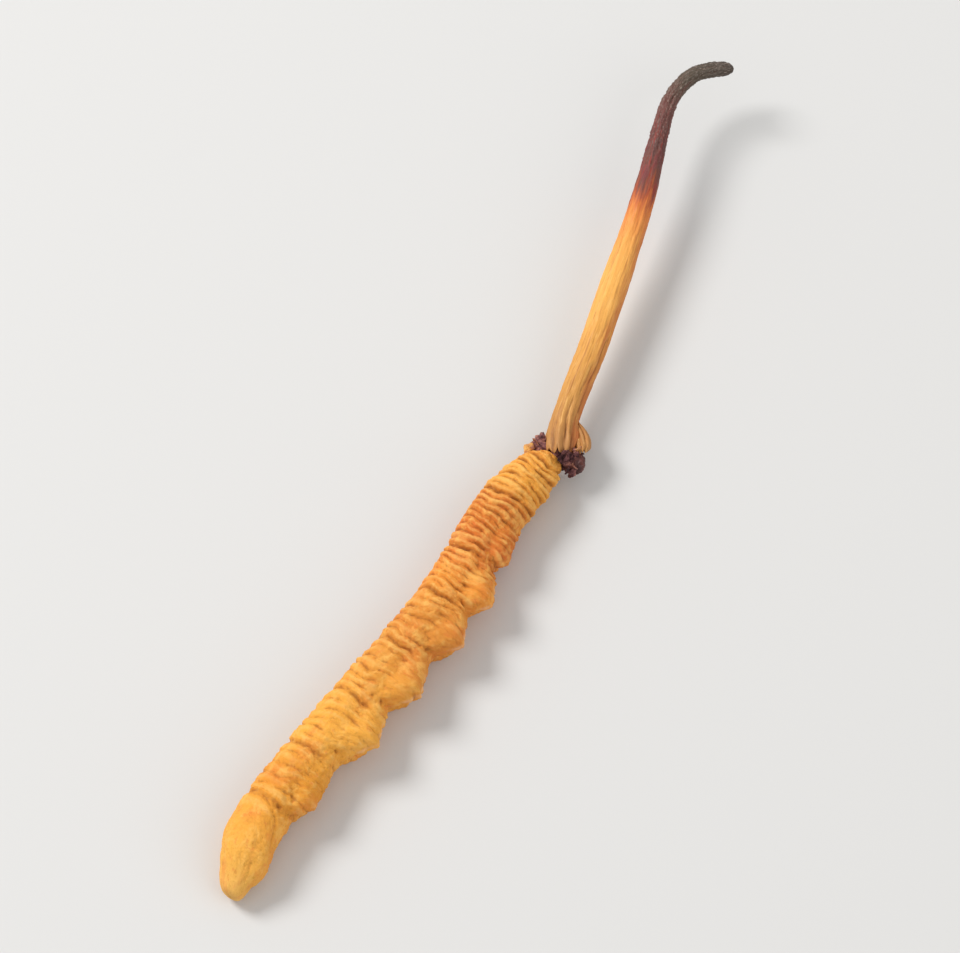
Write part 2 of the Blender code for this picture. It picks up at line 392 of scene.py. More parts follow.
skinLook = {
    # colour along the body, from the tail to the head
    "zones": [
        (0, (250, 190, 96)), (0.04, (244, 178, 76)), (0.14, (246, 166, 60)), (0.23, (231, 151, 48)),
        (0.32, (249, 176, 69)), (0.41, (244, 168, 64)), (0.51, (229, 149, 58)), (0.6, (222, 139, 53)),
        (0.69, (238, 149, 55)), (0.78, (216, 116, 42)), (0.86, (220, 128, 48)), (0.9, (242, 164, 62)),
        (1, (236, 160, 62)),
    ],
    # the skin's own tones, and rim: a painted highlight for the prolegs' outer edges
    "blush": (228, 118, 56), "pale": (255, 194, 98), "ochre": (206, 142, 34), "rim": (250, 194, 144),
    # painted shade for the folds, creases and pits, and a painted highlight for the ridges
    "valley": (196, 124, 40), "paintedCrestHighlight": (252, 196, 108), "crease": (132, 66, 18), "paintedPitShade": (70, 28, 8),
    # patches: the colour, the noise's scale, detail and roughness, where it begins and is full, and how much
    "patches": [
        ("ochre", (5, 4, 4), 4, 0.6, 0.5, 0.7, 0.3),
        ("blush", (0.3, 0.5, 0.5), 4, 0.6, 0.48, 0.68, 0.35),
        ("pale", (0.9, 1.1, 1.1), 4, 0.6, 0.48, 0.66, 0.5),
        ("blush", (2.2, 1.8, 1.8), 4, 0.6, 0.56, 0.7, 0.4),
        ("ochre", (1.6, 1.7, 1.7), 4, 0.6, 0.64, 0.72, 0.45),
    ],
    # tints of painted shade and painted highlight: the colour, the note that calls for it, where it begins
    # and is full, and how much
    "tints": [
        ("valley", "shade", 0.1, 1, 0.4), ("paintedCrestHighlight", "shade", -0.2, -1, 0.35),
        ("paintedCrestHighlight", "hollow", -0.1, -1, 0.35), ("rim", "rim", 0, 1, 0.6),
        ("crease", "hollow", 0.1, 1.2, 0.44), ("paintedPitShade", "hollow", 1.2, 2.6, 0.35),
    ],
    "roughness": (0.62, 0.85), "grainHeight": 0.14,
}


def makeSkinMaterial():
    material, tree, shader = newMaterial("larva_skin", 0.3)
    grain = readNote(tree, "grain", "Vector")
    colour = addRamp(tree, readNote(tree, "share"), skinLook["zones"])
    colour = addPatches(tree, colour, grain, skinLook, "patches", distortion=0.4)
    colour = addTints(tree, colour, skinLook)
    feed(tree, shader.inputs["Base Color"], colour)
    addRoughness(tree, shader, addNoise(tree, grain, (3, 3, 3)), *skinLook["roughness"])
    addBump(tree, shader, addNoise(tree, grain, (5, 4, 4), 5, 0.7), skinLook["grainHeight"], 1)
    return material


stalkLook = {
    # colour along the stalk, from the skirt to the tip
    "zones": [
        (0, (184, 130, 74)), (0.06, (192, 134, 70)), (0.13, (206, 146, 71)), (0.22, (219, 156, 74)),
        (0.3, (231, 165, 78)), (0.4, (242, 176, 86)), (0.49, (238, 164, 79)), (0.555, (226, 138, 65)),
        (0.59, (206, 112, 54)), (0.615, (168, 84, 50)), (0.645, (120, 68, 56)), (0.72, (98, 61, 56)),
        (0.82, (110, 69, 62)), (0.9, (88, 77, 64)), (1, (76, 66, 60)),
    ],
    "zoneWander": 0.035,
    # the edge colour is partly painted shade, and the hollow colour is painted shade for the furrows
    "fibre": (160, 92, 38), "pale": (250, 200, 122), "reddishSideAndShade": (184, 84, 40), "streak": (150, 54, 44),
    "blotch": (122, 54, 58), "dust": (166, 150, 138), "hollow": (96, 44, 20),
    # shares of the length where the golden part fades out, the turn to dark begins and ends, and dust gathers
    "goldenEnd": (0.62, 0.5), "turnStart": (0.54, 0.63), "turnEnd": (0.86, 0.72), "darkStart": (0.62, 0.85),
    # patches and tints, as on the skin; the tint is painted shade in the furrows
    "goldenPatches": [
        ("fibre", (0.22, 5, 5), 3, 0.6, 0.5, 0.72, 0.6),
        ("pale", (0.5, 5, 5), 4, 0.65, 0.52, 0.68, 0.4),
    ],
    "turnPatches": [
        ("streak", (0.5, 3.4, 3.4), 3, 0.6, 0.5, 0.64, 0.75),
        ("blotch", (0.4, 1, 1), 4, 0.6, 0.5, 0.64, 0.6),
    ],
    "darkPatches": [("dust", (3.4, 4, 4), 5, 0.7, 0.5, 0.68, 0.6)],
    "tints": [("hollow", "hollow", 0.1, 1.4, 0.5)],
    # how far round the reddish side, partly painted shade, reaches, how ragged its border is, and how much it
    # covers
    "edgeReach": (0.35, 1.15), "edgeRagged": 0.5, "edgeAmount": 0.6,
    "roughness": (0.5, 0.75), "fibreHeight": 0.05,
}


def makeStalkMaterial():
    material, tree, shader = newMaterial("stalk_fibre", 0.35)
    grain, share = readNote(tree, "grain", "Vector"), readNote(tree, "share")
    golden, turnStart, turnEnd, dark = [
        addRange(tree, share, *stalkLook[key]) for key in ("goldenEnd", "turnStart", "turnEnd", "darkStart")
    ]
    # the colour bands run up the stalk in ragged tongues
    wander = stalkLook["zoneWander"]
    ragged = addRange(tree, addNoise(tree, grain, (0.25, 2.4, 2.4), 3), 0.3, 0.7, -wander, wander, False)
    colour = addRamp(tree, addMath(tree, "ADD", share, ragged), stalkLook["zones"])
    colour = addPatches(tree, colour, grain, stalkLook, "goldenPatches", golden)
    # a reddish side, partly the stalk's own colour and partly painted shade on the side away from the light,
    # with a border frayed by the fibres
    wander = stalkLook["edgeRagged"]
    frayed = addNoise(tree, grain, (0.3, 3, 3), 4, 0.65)
    frayed = addRange(tree, frayed, 0.25, 0.75, -wander, wander, False)
    reddishSideAndShade = addMath(tree, "ADD", readNote(tree, "belly"), frayed)
    reddishSideAndShade = addRange(tree, reddishSideAndShade, *stalkLook["edgeReach"], 0, stalkLook["edgeAmount"])
    colour = addMix(tree, addMath(tree, "MULTIPLY", reddishSideAndShade, golden), colour, fromScreen(*stalkLook["reddishSideAndShade"]))
    # reddish streaks and blotches where the golden part turns dark, and dust on the dark part
    turning = addMath(tree, "MULTIPLY", turnStart, turnEnd)
    colour = addPatches(tree, colour, grain, stalkLook, "turnPatches", turning)
    colour = addPatches(tree, colour, grain, stalkLook, "darkPatches", dark)
    colour = addTints(tree, colour, stalkLook)
    feed(tree, shader.inputs["Base Color"], colour)
    addRoughness(tree, shader, addNoise(tree, grain, (1, 6, 6)), *stalkLook["roughness"])
    fibres = addNoise(tree, grain, (1.2, 11, 11), 4, 0.6)
    addBump(tree, shader, fibres, stalkLook["fibreHeight"], 0.8)
    return material


headLook = {
    "dark": (58, 22, 22), "brown": (112, 54, 42), "dust": (138, 108, 104),
    # patches, as on the skin, with the noise's scale to a metre
    "patches": [
        ("brown", (900, 900, 900), 4, 0.55, 0.35, 0.65, 1),
        ("dust", (2600, 2600, 2600), 4, 0.7, 0.55, 0.7, 0.6),
    ],
    "roughness": 0.6, "grainHeight": 0.06,
}


def makeHeadMaterial():
    material, tree, shader = newMaterial("head_shell", 0.5)
    places = addNode(tree, "TexCoord").outputs["Object"]
    colour = addPatches(tree, fromScreen(*headLook["dark"]), places, headLook, "patches")
    feed(tree, shader.inputs["Base Color"], colour)
    setInputs(shader, {"Roughness": headLook["roughness"]})
    grain = addNoise(tree, places, (5000, 5000, 5000), 3)
    addBump(tree, shader, grain, headLook["grainHeight"], 0.8)
    return material


collarLook = {
    # from the darkest crumbs to the golden lump. A place is the noise's own value plus the mesh's note "tone"
    "tones": [
        # the darkest tones are darker than the matter itself: painted shade
        (0.32, (38, 16, 18)), (0.46, (76, 40, 42)), (0.58, (124, 78, 76)), (0.7, (180, 122, 102)),
        (0.84, (214, 154, 86)), (0.98, (232, 176, 96)),
    ],
    "roughness": 0.8, "grainHeight": 0.05,
}


def makeCollarMaterial():
    material, tree, shader = newMaterial("collar_matter", 0.3)
    places = addNode(tree, "TexCoord").outputs["Object"]
    mottled = addNoise(tree, places, (1500, 1500, 1500), 5, 0.65)
    colour = addRamp(tree, addMath(tree, "ADD", mottled, readNote(tree, "tone")), collarLook["tones"])
    feed(tree, shader.inputs["Base Color"], colour)
    setInputs(shader, {"Roughness": collarLook["roughness"]})
    grain = addNoise(tree, places, (6000, 6000, 6000), 4, 0.65)
    addBump(tree, shader, grain, collarLook["grainHeight"], 0.9)
    return material


# The larva's body

larva = {
    "rings": 640, "sides": 154, "length": 52.2, "tailX": -27.3, "rollDown": 15,
    # radii for lengths round the body and for the grain
    "skinRadius": 2.6, "grainRadius": 2.4,
    "radius": [
        (0, 0), (0.12, 0.75), (0.4, 1.15), (1, 1.5), (1.7, 1.78), (3.3, 2.28), (5, 2.54),
        (10, 2.68), (40, 2.66), (46, 2.74), (49, 2.5), (50.5, 2.1), (51.4, 1.65), (51.95, 1.1),
        (52.2, 0),
    ],
    # the middle line: how far it bends to the back's side, and its height
    "bend": [
        (0, -0.4), (3, 0.52), (6, 1), (10, 1.08), (16, 0.78), (23, 0.12), (30, -0.6),
        (35.5, -0.84), (41, -0.45), (45.5, -0.3), (49, -0.7), (52.2, -1.3),
    ],
    "height": [(0, 1.55), (3, 2.1), (6, 2.4), (10, 2.55), (48, 2.55), (52.2, 2.45)],
    # stretches over which all relief fades out
    "tailFade": 3, "frontFade": 0.8,
    # where each segment begins, how many folds it has, and the depth of its creases
    "segments": [
        (1.7, 3, 0.03), (8.9, 5, 0.14), (15, 6, 0.14), (21.5, 6, 0.15), (28, 6, 0.15), (34, 7, 0.16),
        (39.3, 9, 0.17), (45.8, 3, 0.17), (47.7, 3, 0.16), (49.5, 2, 0.15), (50.7, 1, 0.15),
    ],
    "lastFoldEnd": 51.6, "segmentExtra": 0.5, "foldWander": 0.12,
    "creaseWidth": 0.09, "creaseWander": 0.22, "ringShare": 0.95, "fineShare": 0.3,
    "grooveShare": [(0, 0.1), (28, 0.15), (40, 0.35), (52.2, 0.4)],
    "valleyShare": 0.8, "valleyWidth": 0.55,
    # the tail's smooth pad ends in an arc: its middle and its reach, along the body and in degrees round it
    "arcMiddle": (4, 50), "arcReach": (4.7, 90), "arcDepth": 0.12, "arcWidth": 0.16,
    # the folds fade out below the flanks, on the stretch that has prolegs
    "bareMiddle": 25, "bareReach": 19, "bareFrom": 100, "bareOver": 24, "bareShare": 0.85,
    # wrinkles, deeper towards the head and on the bare flanks, and soft lumps
    "tightFrom": 34, "tightOver": 10, "netDepth": 0.06, "netTight": 0.03, "netBare": 0.05,
    "tinyDepth": 0.065, "tinyTight": 0.02, "lumpDepth": 0.1,
    "bellyFlatten": 0.06, "pleuralAngle": 111, "pleuralSpread": 10, "pleuralDepth": 0.07,
    "legAngle": 27, "legSpreadOut": 36, "legSpreadIn": 20, "lowerRowShare": 0.7,
    # where each proleg begins, its tip, where it ends, and how far the tip stands out
    "prolegs": [
        (9.3, 10.9, 15.6, 1), (16.1, 19, 22.7, 2.05), (22.7, 24.9, 29.2, 2.05),
        (29.2, 31.2, 34.6, 1.95), (34.6, 36.3, 39.7, 1.8), (39.7, 41, 44.5, 1),
    ],
    "rearEdge": 0.7, "frontEdge": 0.85, "rimSpread": 4.5, "rimFrom": 0.75, "rimOver": 0.5,
    # furrows fan out from the notches between the prolegs, each leaning by so many radians
    "notchAngle": 128, "notchLeans": (-0.9, -0.3, 0.3, 0.8), "notchDepth": 0.04, "notchWidth": 0.13,
    # end pair and chest legs: place, how far they stand out, half their length
    "smallLegs": [(3.2, 0.6, 1.5), (46, 0.4, 0.8), (48.2, 0.4, 0.7), (50, 0.35, 0.5)],
    # notes "hollow" and "shade": how far they look, and the relief that makes them 1
    "blurWidth": 0.24, "hollowRelief": 0.1, "shadeRelief": 0.06,
    # how soft the border of the pressed-flat underside is
    "pressBorder": 0.03,
}


def creasePlaces():
    # every crease from the tail to the head, with its depth
    places = [(0, 0)]
    ends = [start for start, _, _ in larva["segments"][1:]] + [larva["lastFoldEnd"]]
    for (start, folds, depth), end in zip(larva["segments"], ends):
        for fold in range(folds):
            extra = larva["segmentExtra"] if fold == 0 else 0
            places.append((start + (end - start) * fold / folds, depth * (1 + extra)))
    return places + [(larva["lastFoldEnd"], larva["segments"][-1][2]), (larva["length"], 0)]


def legHeights(along, around):
    height = np.zeros(np.broadcast(along, around).shape)
    keys = ("legAngle", "legSpreadOut", "legSpreadIn")
    angle, spreadOut, spreadIn = [radians(larva[key]) for key in keys]
    for side, share in ((1, 1), (-1, larva["lowerRowShare"])):
        aside = side * angleBetween(pi - side * angle, around)
        across = share * np.exp(-(np.abs(aside / np.where(aside > 0, spreadOut, spreadIn)) ** 3))
        for start, tip, end, reach in larva["prolegs"]:
            rise = np.clip((along - start) / (tip - start), 0, 1) ** larva["rearEdge"]
            fall = np.clip((end - along) / (end - tip), 0, 1) ** larva["frontEdge"]
            height = np.maximum(height, reach * across * rise * fall)
        for centre, reach, half in larva["smallLegs"]:
            height = np.maximum(height, reach * across * bump(along - centre, half))
    return height


def foldRelief(along, grain):
    # rounded rings parted by creases, which wander and fade round the body
    places, depths = np.array(creasePlaces()).T
    circle = 1.5 * grain[..., 1:] / larva["grainRadius"]
    at = np.concatenate([0.3 * grain[..., :1], circle], axis=-1)
    moved = along - larva["creaseWander"] * (noiseAt(at, 3) + 0.35 * noiseAt(at * 2.3, 4))
    ring = np.interp(moved, places, np.arange(len(places)))
    crease = np.rint(ring).astype(int)
    at = np.concatenate([5.3 * crease[..., None], circle], axis=-1)
    strength = depths[crease] * np.clip(1 + 1.1 * noiseAt(at, 5), 0.3, 1.7)
    groove = creaseShape(moved - places[crease], larva["creaseWidth"])
    groove = groove * smoothThrough(larva["grooveShare"], along)
    relief = -strength * (larva["ringShare"] * pleats(ring, 0.002) + groove)
    # finer folds between the creases, and a wide valley where each segment begins
    within = 2 * ring + 0.5 + 0.9 * noiseAt(at * [0.4, 1.6, 1.6], 6)
    relief -= larva["fineShare"] * depths[crease] * pleats(within, 0.004)
    for start, _, depth in larva["segments"]:
        relief -= larva["valleyShare"] * depth * bump(moved - start, larva["valleyWidth"])
    return relief


furrows = {
    # kinds of short furrow: how many to a millimetre of the body, the stretch they keep to, the angle from
    # the back and its spread, half length, width, lean and depth. A negative depth is a ridge
    "partFolds": (3, (8, 51), (0, 118), (0.5, 2.4), (0.07, 0.11), 9, (0.02, 0.06)),
    "partRidges": (2, (8, 51), (0, 110), (0.5, 2.2), (0.1, 0.16), 12, (-0.06, -0.02)),
    "tightFolds": (5, (38.5, 51.6), (0, 140), (0.5, 2.2), (0.06, 0.1), 8, (0.04, 0.12)),
    "puckers": (4, (8, 46), (112, 16), (0.3, 1), (0.08, 0.14), 50, (0.02, 0.06)),
    "legPleats": (3, (9, 45), (135, 24), (0.4, 1.5), (0.08, 0.14), 38, (0.02, 0.07)),
    "bellyFolds": (5, (7, 46), (166, 20), (0.4, 1.8), (0.08, 0.15), 20, (0.03, 0.09)),
    "cracks": (20, (1, 51), (0, 180), (0.15, 0.7), (0.05, 0.08), 90, (0.012, 0.05)),
    "pores": (14, (1, 50), (0, 130), (0.05, 0.09), (0.05, 0.08), 0, (0.03, 0.08)),
    "tailLines": (12, (0.3, 3.2), (0, 180), (0.4, 1.4), (0.06, 0.1), 90, (0.01, 0.03)),
}


def furrowRelief(along, around):
    # short furrows and ridges, each a little bent, drawn at random places. It needs rising places along
    relief = np.zeros((len(along), around.shape[1]))
    for perMm, (first, last), (angle, spread), halfLong, width, lean, depth in furrows.values():
        for _ in range(int(perMm * (last - first))):
            place, side = rng.uniform(first, last), rng.choice([-1, 1])
            turned = radians(side * angle + rng.uniform(-spread, spread))
            long, wide = rng.uniform(*halfLong), rng.uniform(*width)
            tilt, bend = radians(rng.uniform(-lean, lean)), rng.uniform(-0.1, 0.1)
            reach = long * abs(sin(tilt)) + 0.6 + 0.12 * long ** 2
            near = slice(*np.searchsorted(along[:, 0], (place - reach, place + reach)))
            u, v = along[near] - place, larva["skinRadius"] * angleBetween(around, turned)
            across = u * cos(tilt) + v * sin(tilt)
            onward = v * cos(tilt) - u * sin(tilt)
            shape = creaseShape(across + bend * onward ** 2, wide) * np.exp(-((onward / long) ** 4))
            relief[near] -= rng.uniform(*depth) * shape
    return relief


def notchRelief(along, around, grain):
    relief = np.zeros(np.broadcast(along, around).shape)
    for start, _, _, reach in larva["prolegs"]:
        for side in (-1, 1):
            notch = side * radians(larva["notchAngle"])
            u, v = along - start, larva["skinRadius"] * angleBetween(around, notch) * side
            for lean in larva["notchLeans"]:
                across = u * cos(lean) + v * sin(lean) + 0.2 * noiseAt(grain * 1.1, 23)
                shape = creaseShape(across, larva["notchWidth"]) * bump(u, 1.2) * bump(v - 0.3, 1.3)
                relief -= larva["notchDepth"] * reach * shape
    return relief


def tailArcRelief(along, around):
    onward = along - larva["arcMiddle"][0]
    down = np.abs(around) - radians(larva["arcMiddle"][1])
    reach, spread = larva["arcReach"][0], radians(larva["arcReach"][1])
    away = reach * (np.hypot(onward / reach, down / spread) - 1)
    groove = creaseShape(away, larva["arcWidth"]) * ease(onward / 2) * ease(0.5 + 3 * down)
    return -larva["arcDepth"] * groove


def flankRelief(around, grain):
    # a faint broken furrow along each flank
    away = np.abs(around + 0.2 * noiseAt(grain * [0.35, 0.1, 0.1], 31)) - radians(larva["pleuralAngle"])
    furrow = bump(away, radians(larva["pleuralSpread"]))
    return -larva["pleuralDepth"] * furrow * ease(0.4 + 1.8 * noiseAt(grain * [0.8, 0.1, 0.1], 32))


def skinRelief(along, around, grain):
    # everything finer than the legs and the lumps
    below = (np.abs(around) - radians(larva["bareFrom"])) / radians(larva["bareOver"])
    bare = bump(along - larva["bareMiddle"], larva["bareReach"]) * ease(below)
    tight = ease((along - larva["tightFrom"]) / larva["tightOver"])
    folds = foldRelief(along, grain) * (1 - larva["bareShare"] * bare)
    folds = folds + furrowRelief(along[::-1], around)[::-1] + notchRelief(along, around, grain)
    netDepth = larva["netDepth"] + larva["netTight"] * tight + larva["netBare"] * bare
    tinyDepth = larva["tinyDepth"] + larva["tinyTight"] * tight
    net = wrinklesAt(grain * [1.3, 1, 1], 3, 51) * netDepth
    tiny = wrinklesAt(grain * [3.2, 2.2, 2.2], 3, 41) * tinyDepth
    return folds + tailArcRelief(along, around) + net + tiny + flankRelief(around, grain)


def skinNotes(along, around, grain, leg, fine):
    # how deep each place lies between its near neighbours, and between those further off, for the painted
    # shade and highlights
    wide = larva["blurWidth"] * larva["rings"] / larva["length"]
    hollow = (blurred(fine, wide, wide) - fine) / larva["hollowRelief"]
    shade = blurred(fine, 3 * wide, 3 * wide) - blurred(fine, 0.8 * wide, 1.6 * wide)
    # a painted highlight along the outer edges of the prolegs, in a thin broken line
    ridge = np.abs(around) - pi + radians(larva["legAngle"])
    ridge = bump(ridge, radians(larva["rimSpread"])) * ease(0.8 + 1.2 * noiseAt(grain * 0.8, 33))
    rim = ease((leg - larva["rimFrom"]) / larva["rimOver"]) * np.maximum(ridge, ease((-0.6 - hollow) / 0.5))
    share = np.broadcast_to(along / larva["length"], fine.shape)
    shade = shade / larva["shadeRelief"]
    return {"grain": grain, "hollow": hollow, "shade": shade, "rim": rim, "share": share}


def makeLarva(material):
    # rings of points from the head to the tail
    ridge = pi - radians(larva["legAngle"])
    along = evenStations(
        larva["rings"], larva["length"],
        lambda at: smoothThrough(larva["radius"], at),
        lambda at: 0.5 * legHeights(at, ridge),
    )[::-1, None]
    around = angleBetween(np.arange(larva["sides"]) * fullTurn / larva["sides"], 0)[None, :]
    grain = ringGrain(along, around, larva["grainRadius"])
    ends = ease(along / larva["tailFade"]) * ease((larva["length"] - along) / larva["frontFade"])

    # legs with uneven edges, fine relief and soft lumps stand on the plain radius
    leg = legHeights(along + 0.25 * noiseAt(grain * 0.9, 21), around + 0.1 * noiseAt(grain * 0.8, 22)) * ends
    fine = skinRelief(along, around, grain)
    lumps = larva["lumpDepth"] * layeredNoise(grain * [0.5, 0.55, 0.55], 3, 61)
    belly = np.maximum(0, -np.cos(around))
    radius = smoothThrough(larva["radius"], along) * (1 - larva["bellyFlatten"] * belly)
    radius = radius + (leg + fine * ends + lumps * ends) * (radius > 0)

    # the rings are a little warped, and follow the middle line
    warp = np.sin(2 * around + 0.9 * along) + 0.6 * np.sin(3 * around - 1.5 * along)
    drift = larva["foldWander"] * warp + 0.12 * noiseAt(grain * [0.5, 0.7, 0.7], 71)
    drift = (drift + 0.3 * noiseAt(grain * [0.15, 0.3, 0.3], 72)) * ends
    roll = radians(larva["rollDown"])
    back = np.array([0, cos(roll), sin(roll)])
    flank = np.array([0, -sin(roll), cos(roll)])
    out = np.cos(around)[..., None] * back + np.sin(around)[..., None] * flank
    bend, height = smoothThrough(larva["bend"], along), smoothThrough(larva["height"], along)
    middle = np.stack(np.broadcast_arrays(larva["tailX"] + along + drift, bend, height), axis=-1)
    points = middle + radius[..., None] * out
    points[..., 2] = 0.5 * (points[..., 2] + np.sqrt(points[..., 2] ** 2 + larva["pressBorder"] ** 2))

    notes = skinNotes(along, around, grain, leg, fine)
    piece = newRings("larva_skin", larva["skinRadius"], (0, 0, larva["skinRadius"]), points, notes)
    finishPiece(piece, "body_skin", material, "larva_body")


# The stalk

stalk = {
    # the rim of the skirt is closed by a shallow hollow cap of a few rings
    "rings": 560, "sides": 120, "capRings": 10, "capHollow": 0.6,
    "skinRadius": 1.3, "startMiddle": (45, 4, 4),
    "line": [
        (25.42, -1.9, 2.58), (27.1, -0.98, 2.72), (28.65, -0.28, 2.86), (31, 0.4, 3.05),
        (34.6, 1.18, 3.35), (38.85, 2.28, 3.7), (43.1, 3.4, 4.05), (48.1, 4.77, 4.45), (52.2, 6.05, 4.8),
        (55.45, 7.2, 5.07), (58.7, 8.32, 5.34), (60.5, 8.62, 5.48), (62, 8.53, 5.6), (63.3, 8.1, 5.72),
        (64.6, 6.9, 5.85), (65.65, 5.3, 6),
    ],
    "radius": [
        (0, 1), (0.5, 1.15), (3.3, 1.18), (5, 1.25), (10.3, 1.34), (17.3, 1.35), (19.1, 1.3),
        (21.5, 1.2), (26, 1.13), (28, 1.07), (30, 0.96), (33, 0.83), (36.3, 0.73), (40.5, 0.71),
        (42.2, 0.66), (43.1, 0.58),
    ],
    "flutes": 9, "broadFolds": 3, "fluteBase": 0.13, "fluteStem": 0.025, "fluteReach": 7,
    # ribs: noise scale, layers and seed, depth on the stem, more at the base, share lost on the upper part
    "ribs": [((0.16, 1.9, 1.9), 3, 91, 0.05, 0.09, 0.5), ((0.35, 4.2, 4.2), 2, 93, 0.035, 0.03, 0.7)],
    # the upper part is gritty
    "upperFrom": 27, "upperOver": 6, "gritDepth": 0.15, "roughDepth": 0.045,
    # long furrows: where each begins and ends, its angle from the back's side over the top, its depth
    "furrows": [
        (1, 9.5, 126, 0.16), (3.5, 12.5, 146, 0.2), (0.5, 6, 104, 0.12), (0.5, 5, 74, 0.1),
        (9, 16.5, 154, 0.1), (1.5, 8, 48, 0.08), (11, 21, 118, 0.04), (13, 24, 66, 0.04),
        (2, 10, -60, 0.14), (4, 16, -105, 0.12), (1, 8, -150, 0.12),
    ],
    "furrowWidth": 0.14, "tongues": 11, "tongueLength": 0.75, "tongueReach": 1.6,
    # a flap stands out on the head's side of the skirt
    "flapAngle": 172, "flapSpread": 24, "flapHeight": 0.5, "flapPlace": 1.6, "flapReach": 1.1,
    # the skirt spreads over the back's side of the body's end
    "flareAngle": 30, "flareSpread": 55, "flareHeight": 0.75, "flareReach": 6,
    "tipRounding": 0.9,
    # note "hollow": how many rings and sides it looks across, and the relief that makes it 1
    "blurWidth": 3, "hollowRelief": 0.07,
}


def stalkTrack():
    # the middle line as (distance along, point) pairs
    line = [np.array(point) for point in stalk["line"]]
    steps = [np.linalg.norm(after - before) for before, after in zip(line, line[1:])]
    return list(zip(np.concatenate([[0], np.cumsum(steps)]), line))


def stalkDirections(track, along):
    # the way on, the way aside and the way up at each place
    ahead = smoothThrough(track, np.minimum(track[-1][0], along + 0.1))
    behind = smoothThrough(track, np.maximum(0, along - 0.1))
    forward = (ahead - behind) / np.linalg.norm(ahead - behind, axis=1)[:, None]
    sideways = np.cross([0, 0, 1], forward)
    sideways /= np.linalg.norm(sideways, axis=1)[:, None]
    return forward, sideways, np.cross(forward, sideways)


def stalkRelief(along, around, grain):
    # flutes at the base, ribs and long furrows, and grit on the upper part
    base = 1 - ease(along / stalk["fluteReach"])
    upper = ease((along - stalk["upperFrom"]) / stalk["upperOver"])
    turned = around + 0.25 * noiseAt(grain * [0.2, 0.4, 0.4], 81)
    flute = stalk["fluteStem"] + (stalk["fluteBase"] - stalk["fluteStem"]) * base
    waves = np.cos(stalk["flutes"] * turned) + base * np.cos(stalk["broadFolds"] * around + 1) - 0.3
    relief = flute * waves
    for scale, layers, seed, depth, deeper, lost in stalk["ribs"]:
        ribs = wrinklesAt(grain * scale, layers, seed) * (depth + deeper * base)
        relief = relief + ribs * (1 - lost * upper)
    for start, end, angle, depth in stalk["furrows"]:
        away = angleBetween(turned, radians(angle))
        away = stalk["skinRadius"] * (away + 0.12 * noiseAt(grain * [0.5, 0, 0] + angle, 92))
        groove = creaseShape(away, stalk["furrowWidth"]) * ease(along - start) * ease(end - along)
        relief = relief - depth * groove
    grit = (0.5 - pebblesAt(grain * [3.6, 4.2, 4.2], 95)) * stalk["gritDepth"] * upper
    rough = stalk["roughDepth"] * layeredNoise(grain * [1.4, 2, 2], 3, 96) * (0.5 + upper)
    return relief + grit + rough


def skirtSpread(along, around):
    flap, flare = [
        bump(angleBetween(around, radians(stalk[name + "Angle"])), radians(stalk[name + "Spread"]))
        for name in ("flap", "flare")
    ]
    flap = stalk["flapHeight"] * flap * bump(along - stalk["flapPlace"], stalk["flapReach"])
    return flap + stalk["flareHeight"] * flare * (1 - ease(along / stalk["flareReach"]))


def skirtTongues(along, around, grain):
    # the rim of the skirt is torn into tongues that hang over the body's end
    turned = around + 0.5 * noiseAt(grain * [0, 0.9, 0.9], 101)
    tongues = np.abs(np.sin(0.5 * stalk["tongues"] * turned)) ** 0.7
    tongues = tongues * (0.65 + 0.6 * noiseAt(grain * [0, 0.7, 0.7], 102)) - 0.35
    return stalk["tongueLength"] * tongues * (1 - ease(along / stalk["tongueReach"]))


def makeStalk(material):
    # rings of points from the tip to the rim of the skirt and on into the cap, whose width shrinks to nothing
    track = stalkTrack()
    length, cap = track[-1][0], np.arange(stalk["capRings"]) / stalk["capRings"]
    stem = evenStations(
        stalk["rings"] - stalk["capRings"], length, lambda at: smoothThrough(stalk["radius"], at)
    )
    width = np.concatenate([cap, np.ones(len(stem))])[::-1, None]
    along = np.concatenate([stalk["capHollow"] * (1 - cap ** 2), stem])[::-1]
    forward, sideways, upward = stalkDirections(track, along)
    middle = smoothThrough(track, along)
    along = along[:, None]
    around = angleBetween(np.arange(stalk["sides"]) * fullTurn / stalk["sides"], 0)[None, :]
    grain = ringGrain(along, around, stalk["skinRadius"])

    fine = stalkRelief(along, around, grain)
    rounding = np.minimum(1, (length - along) / stalk["tipRounding"])
    bulk = smoothThrough(stalk["radius"], along) + fine + skirtSpread(along, around)
    bulk = bulk * np.sqrt(np.clip(1 - (1 - rounding) ** 2, 0, 1)) * width
    ragged = skirtTongues(along, around, grain) * width ** 3
    out = np.cos(around)[..., None] * sideways[:, None] + np.sin(around)[..., None] * upward[:, None]
    points = middle[:, None] + bulk[..., None] * out - ragged[..., None] * forward[:, None]

    notes = {
        "grain": grain,
        "hollow": (blurred(fine, stalk["blurWidth"], stalk["blurWidth"]) - fine) / stalk["hollowRelief"],
        "share": np.broadcast_to(along / length, bulk.shape),
        # the side away from the light, for the reddish colour and its painted shade
        "belly": np.broadcast_to(-np.cos(around), bulk.shape),
    }
    piece = newRings("stalk_fungus", stalk["skinRadius"], stalk["startMiddle"], points, notes)
    finishPiece(piece, "stalk_fibre", material, "stalk")


# The torn strip of the skirt

